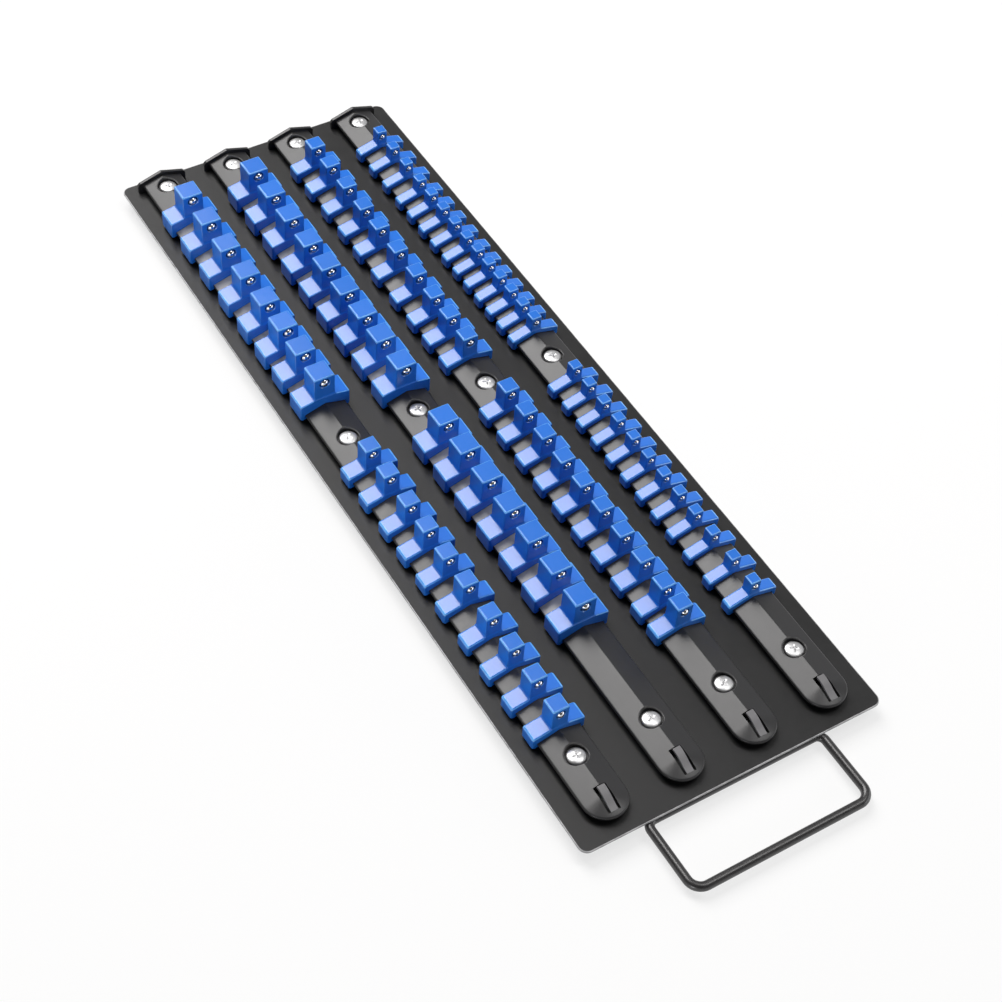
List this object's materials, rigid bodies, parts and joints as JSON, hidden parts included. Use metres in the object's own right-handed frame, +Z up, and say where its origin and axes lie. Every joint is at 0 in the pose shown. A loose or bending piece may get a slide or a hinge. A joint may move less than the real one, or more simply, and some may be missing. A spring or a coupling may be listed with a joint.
{
  "type": "socket rail tray",
  "caption": "Flat tray of four rails with rows of sliding square-post socket clips in three drive sizes and a wire pull handle at one end.",
  "frame": {"origin": "on the resting surface, below the middle of the tray's outline with the handle included", "axes": "+X to the right and +Y to the rear as seen from the handle's end, +Z up"},
  "size_m": [0.178, 0.562, 0.0377],
  "materials": {
    "powder_coated_steel": "satin",
    "handle_wire": "satin",
    "rail_plastic": "matte",
    "clip_plastic": "satin",
    "screw_steel": "bright",
    "ball_steel": "polished",
    "spring_steel": "plain",
    "foot_rubber": "matte"
  },
  "bodies": {
    "tray": {"tray_plate": "powder_coated_steel", "rubber_feet": "foot_rubber", "handle": "handle_wire", "rail_screws": "screw_steel", "rail_1": "rail_plastic", "rail_2": "rail_plastic", "rail_3": "rail_plastic", "rail_4": "rail_plastic"},
    "rail_1_latch": {"rail_1_latch": "rail_plastic"},
    "rail_1_rear_clips": {"rail_1_rear_clips": "clip_plastic", "rail_1_rear_springs": "spring_steel"},
    "rail_1_rear_balls": {"rail_1_rear_balls": "ball_steel"},
    "rail_1_rear_end_clip": {"rail_1_rear_end_clip": "clip_plastic", "rail_1_rear_end_spring": "spring_steel"},
    "rail_1_rear_end_ball": {"rail_1_rear_end_ball": "ball_steel"},
    "rail_1_front_clips": {"rail_1_front_clips": "clip_plastic", "rail_1_front_springs": "spring_steel"},
    "rail_1_front_balls": {"rail_1_front_balls": "ball_steel"},
    "rail_1_front_end_clip": {"rail_1_front_end_clip": "clip_plastic", "rail_1_front_end_spring": "spring_steel"},
    "rail_1_front_end_ball": {"rail_1_front_end_ball": "ball_steel"},
    "rail_2_latch": {"rail_2_latch": "rail_plastic"},
    "rail_2_rear_clips": {"rail_2_rear_clips": "clip_plastic", "rail_2_rear_springs": "spring_steel"},
    "rail_2_rear_balls": {"rail_2_rear_balls": "ball_steel"},
    "rail_2_rear_end_clip": {"rail_2_rear_end_clip": "clip_plastic", "rail_2_rear_end_spring": "spring_steel"},
    "rail_2_rear_end_ball": {"rail_2_rear_end_ball": "ball_steel"},
    "rail_2_front_clips": {"rail_2_front_clips": "clip_plastic", "rail_2_front_springs": "spring_steel"},
    "rail_2_front_balls": {"rail_2_front_balls": "ball_steel"},
    "rail_2_front_end_clip": {"rail_2_front_end_clip": "clip_plastic", "rail_2_front_end_spring": "spring_steel"},
    "rail_2_front_end_ball": {"rail_2_front_end_ball": "ball_steel"},
    "rail_3_latch": {"rail_3_latch": "rail_plastic"},
    "rail_3_rear_clips": {"rail_3_rear_clips": "clip_plastic", "rail_3_rear_springs": "spring_steel"},
    "rail_3_rear_balls": {"rail_3_rear_balls": "ball_steel"},
    "rail_3_rear_end_clip": {"rail_3_rear_end_clip": "clip_plastic", "rail_3_rear_end_spring": "spring_steel"},
    "rail_3_rear_end_ball": {"rail_3_rear_end_ball": "ball_steel"},
    "rail_3_front_clips": {"rail_3_front_clips": "clip_plastic", "rail_3_front_springs": "spring_steel"},
    "rail_3_front_balls": {"rail_3_front_balls": "ball_steel"},
    "rail_3_front_end_clip": {"rail_3_front_end_clip": "clip_plastic", "rail_3_front_end_spring": "spring_steel"},
    "rail_3_front_end_ball": {"rail_3_front_end_ball": "ball_steel"},
    "rail_4_latch": {"rail_4_latch": "rail_plastic"},
    "rail_4_rear_clips": {"rail_4_rear_clips": "clip_plastic", "rail_4_rear_springs": "spring_steel"},
    "rail_4_rear_balls": {"rail_4_rear_balls": "ball_steel"},
    "rail_4_rear_end_clip": {"rail_4_rear_end_clip": "clip_plastic", "rail_4_rear_end_spring": "spring_steel"},
    "rail_4_rear_end_ball": {"rail_4_rear_end_ball": "ball_steel"},
    "rail_4_front_clips": {"rail_4_front_clips": "clip_plastic", "rail_4_front_springs": "spring_steel"},
    "rail_4_front_balls": {"rail_4_front_balls": "ball_steel"},
    "rail_4_front_end_clip": {"rail_4_front_end_clip": "clip_plastic", "rail_4_front_end_spring": "spring_steel"},
    "rail_4_front_end_ball": {"rail_4_front_end_ball": "ball_steel"}
  },
  "joints": [
    {"name": "rail_1_latch_flex", "type": "hinge", "parent": "tray", "child": "rail_1_latch", "pos_m": [-0.06525, -0.2285, 0.01376], "axis": [1, 0, 0], "range_deg": [-6, 0], "stiffness_Nm_per_rad": 0.3},
    {"name": "rail_1_rear_clips_slide", "type": "slide", "parent": "tray", "child": "rail_1_rear_clips", "axis": [0, 1, 0], "range_m": [-0.0038, 0.0321]},
    {"name": "rail_1_rear_balls_travel", "type": "slide", "parent": "rail_1_rear_clips", "child": "rail_1_rear_balls", "axis": [0, 1, 0], "range_m": [0, 0.0013], "stiffness_N_per_m": 3500, "springref_m": -0.0005},
    {"name": "rail_1_rear_end_clip_slide", "type": "slide", "parent": "tray", "child": "rail_1_rear_end_clip", "axis": [0, 1, 0], "range_m": [-0.0219, 0.0038]},
    {"name": "rail_1_rear_end_ball_travel", "type": "slide", "parent": "rail_1_rear_end_clip", "child": "rail_1_rear_end_ball", "axis": [0, 1, 0], "range_m": [0, 0.0013], "stiffness_N_per_m": 500, "springref_m": -0.0005},
    {"name": "rail_1_front_clips_slide", "type": "slide", "parent": "tray", "child": "rail_1_front_clips", "axis": [0, 1, 0], "range_m": [-0.0045, 0.0219]},
    {"name": "rail_1_front_balls_travel", "type": "slide", "parent": "rail_1_front_clips", "child": "rail_1_front_balls", "axis": [0, 1, 0], "range_m": [0, 0.0011], "stiffness_N_per_m": 4500, "springref_m": -0.0005},
    {"name": "rail_1_front_end_clip_slide", "type": "slide", "parent": "tray", "child": "rail_1_front_end_clip", "axis": [0, 1, 0], "range_m": [-0.0345, 0.0045]},
    {"name": "rail_1_front_end_ball_travel", "type": "slide", "parent": "rail_1_front_end_clip", "child": "rail_1_front_end_ball", "axis": [0, 1, 0], "range_m": [0, 0.0011], "stiffness_N_per_m": 500, "springref_m": -0.0005},
    {"name": "rail_2_latch_flex", "type": "hinge", "parent": "tray", "child": "rail_2_latch", "pos_m": [-0.02175, -0.2285, 0.01376], "axis": [1, 0, 0], "range_deg": [-6, 0], "stiffness_Nm_per_rad": 0.3},
    {"name": "rail_2_rear_clips_slide", "type": "slide", "parent": "tray", "child": "rail_2_rear_clips", "axis": [0, 1, 0], "range_m": [-0.0043, 0.0303]},
    {"name": "rail_2_rear_balls_travel", "type": "slide", "parent": "rail_2_rear_clips", "child": "rail_2_rear_balls", "axis": [0, 1, 0], "range_m": [0, 0.0013], "stiffness_N_per_m": 4000, "springref_m": -0.0005},
    {"name": "rail_2_rear_end_clip_slide", "type": "slide", "parent": "tray", "child": "rail_2_rear_end_clip", "axis": [0, 1, 0], "range_m": [-0.0159, 0.0043]},
    {"name": "rail_2_rear_end_ball_travel", "type": "slide", "parent": "rail_2_rear_end_clip", "child": "rail_2_rear_end_ball", "axis": [0, 1, 0], "range_m": [0, 0.0013], "stiffness_N_per_m": 500, "springref_m": -0.0005},
    {"name": "rail_2_front_clips_slide", "type": "slide", "parent": "tray", "child": "rail_2_front_clips", "axis": [0, 1, 0], "range_m": [-0.0041, 0.0159]},
    {"name": "rail_2_front_balls_travel", "type": "slide", "parent": "rail_2_front_clips", "child": "rail_2_front_balls", "axis": [0, 1, 0], "range_m": [0, 0.0013], "stiffness_N_per_m": 3000, "springref_m": -0.0005},
    {"name": "rail_2_front_end_clip_slide", "type": "slide", "parent": "tray", "child": "rail_2_front_end_clip", "axis": [0, 1, 0], "range_m": [-0.0808, 0.0041]},
    {"name": "rail_2_front_end_ball_travel", "type": "slide", "parent": "rail_2_front_end_clip", "child": "rail_2_front_end_ball", "axis": [0, 1, 0], "range_m": [0, 0.0013], "stiffness_N_per_m": 500, "springref_m": -0.0005},
    {"name": "rail_3_latch_flex", "type": "hinge", "parent": "tray", "child": "rail_3_latch", "pos_m": [0.02175, -0.2285, 0.01376], "axis": [1, 0, 0], "range_deg": [-6, 0], "stiffness_Nm_per_rad": 0.3},
    {"name": "rail_3_rear_clips_slide", "type": "slide", "parent": "tray", "child": "rail_3_rear_clips", "axis": [0, 1, 0], "range_m": [-0.004, 0.0269]},
    {"name": "rail_3_rear_balls_travel", "type": "slide", "parent": "rail_3_rear_clips", "child": "rail_3_rear_balls", "axis": [0, 1, 0], "range_m": [0, 0.0011], "stiffness_N_per_m": 4500, "springref_m": -0.0005},
    {"name": "rail_3_rear_end_clip_slide", "type": "slide", "parent": "tray", "child": "rail_3_rear_end_clip", "axis": [0, 1, 0], "range_m": [-0.0168, 0.004]},
    {"name": "rail_3_rear_end_ball_travel", "type": "slide", "parent": "rail_3_rear_end_clip", "child": "rail_3_rear_end_ball", "axis": [0, 1, 0], "range_m": [0, 0.0011], "stiffness_N_per_m": 500, "springref_m": -0.0005},
    {"name": "rail_3_front_clips_slide", "type": "slide", "parent": "tray", "child": "rail_3_front_clips", "axis": [0, 1, 0], "range_m": [-0.002, 0.0168]},
    {"name": "rail_3_front_balls_travel", "type": "slide", "parent": "rail_3_front_clips", "child": "rail_3_front_balls", "axis": [0, 1, 0], "range_m": [0, 0.0011], "stiffness_N_per_m": 4500, "springref_m": -0.0005},
    {"name": "rail_3_front_end_clip_slide", "type": "slide", "parent": "tray", "child": "rail_3_front_end_clip", "axis": [0, 1, 0], "range_m": [-0.0561, 0.002]},
    {"name": "rail_3_front_end_ball_travel", "type": "slide", "parent": "rail_3_front_end_clip", "child": "rail_3_front_end_ball", "axis": [0, 1, 0], "range_m": [0, 0.0011], "stiffness_N_per_m": 500, "springref_m": -0.0005},
    {"name": "rail_4_latch_flex", "type": "hinge", "parent": "tray", "child": "rail_4_latch", "pos_m": [0.06525, -0.2285, 0.01376], "axis": [1, 0, 0], "range_deg": [-6, 0], "stiffness_Nm_per_rad": 0.3},
    {"name": "rail_4_rear_clips_slide", "type": "slide", "parent": "tray", "child": "rail_4_rear_clips", "axis": [0, 1, 0], "range_m": [-0.0024, 0.0306]},
    {"name": "rail_4_rear_balls_travel", "type": "slide", "parent": "rail_4_rear_clips", "child": "rail_4_rear_balls", "axis": [0, 1, 0], "range_m": [0, 0.00085], "stiffness_N_per_m": 6500, "springref_m": -0.0005},
    {"name": "rail_4_rear_end_clip_slide", "type": "slide", "parent": "tray", "child": "rail_4_rear_end_clip", "axis": [0, 1, 0], "range_m": [-0.0177, 0.0024]},
    {"name": "rail_4_rear_end_ball_travel", "type": "slide", "parent": "rail_4_rear_end_clip", "child": "rail_4_rear_end_ball", "axis": [0, 1, 0], "range_m": [0, 0.00085], "stiffness_N_per_m": 500, "springref_m": -0.0005},
    {"name": "rail_4_front_clips_slide", "type": "slide", "parent": "tray", "child": "rail_4_front_clips", "axis": [0, 1, 0], "range_m": [-0.0048, 0.0177]},
    {"name": "rail_4_front_balls_travel", "type": "slide", "parent": "rail_4_front_clips", "child": "rail_4_front_balls", "axis": [0, 1, 0], "range_m": [0, 0.00085], "stiffness_N_per_m": 5500, "springref_m": -0.0005},
    {"name": "rail_4_front_end_clip_slide", "type": "slide", "parent": "tray", "child": "rail_4_front_end_clip", "axis": [0, 1, 0], "range_m": [-0.0547, 0.0048]},
    {"name": "rail_4_front_end_ball_travel", "type": "slide", "parent": "rail_4_front_end_clip", "child": "rail_4_front_end_ball", "axis": [0, 1, 0], "range_m": [0, 0.00085], "stiffness_N_per_m": 500, "springref_m": -0.0005}
  ]
}
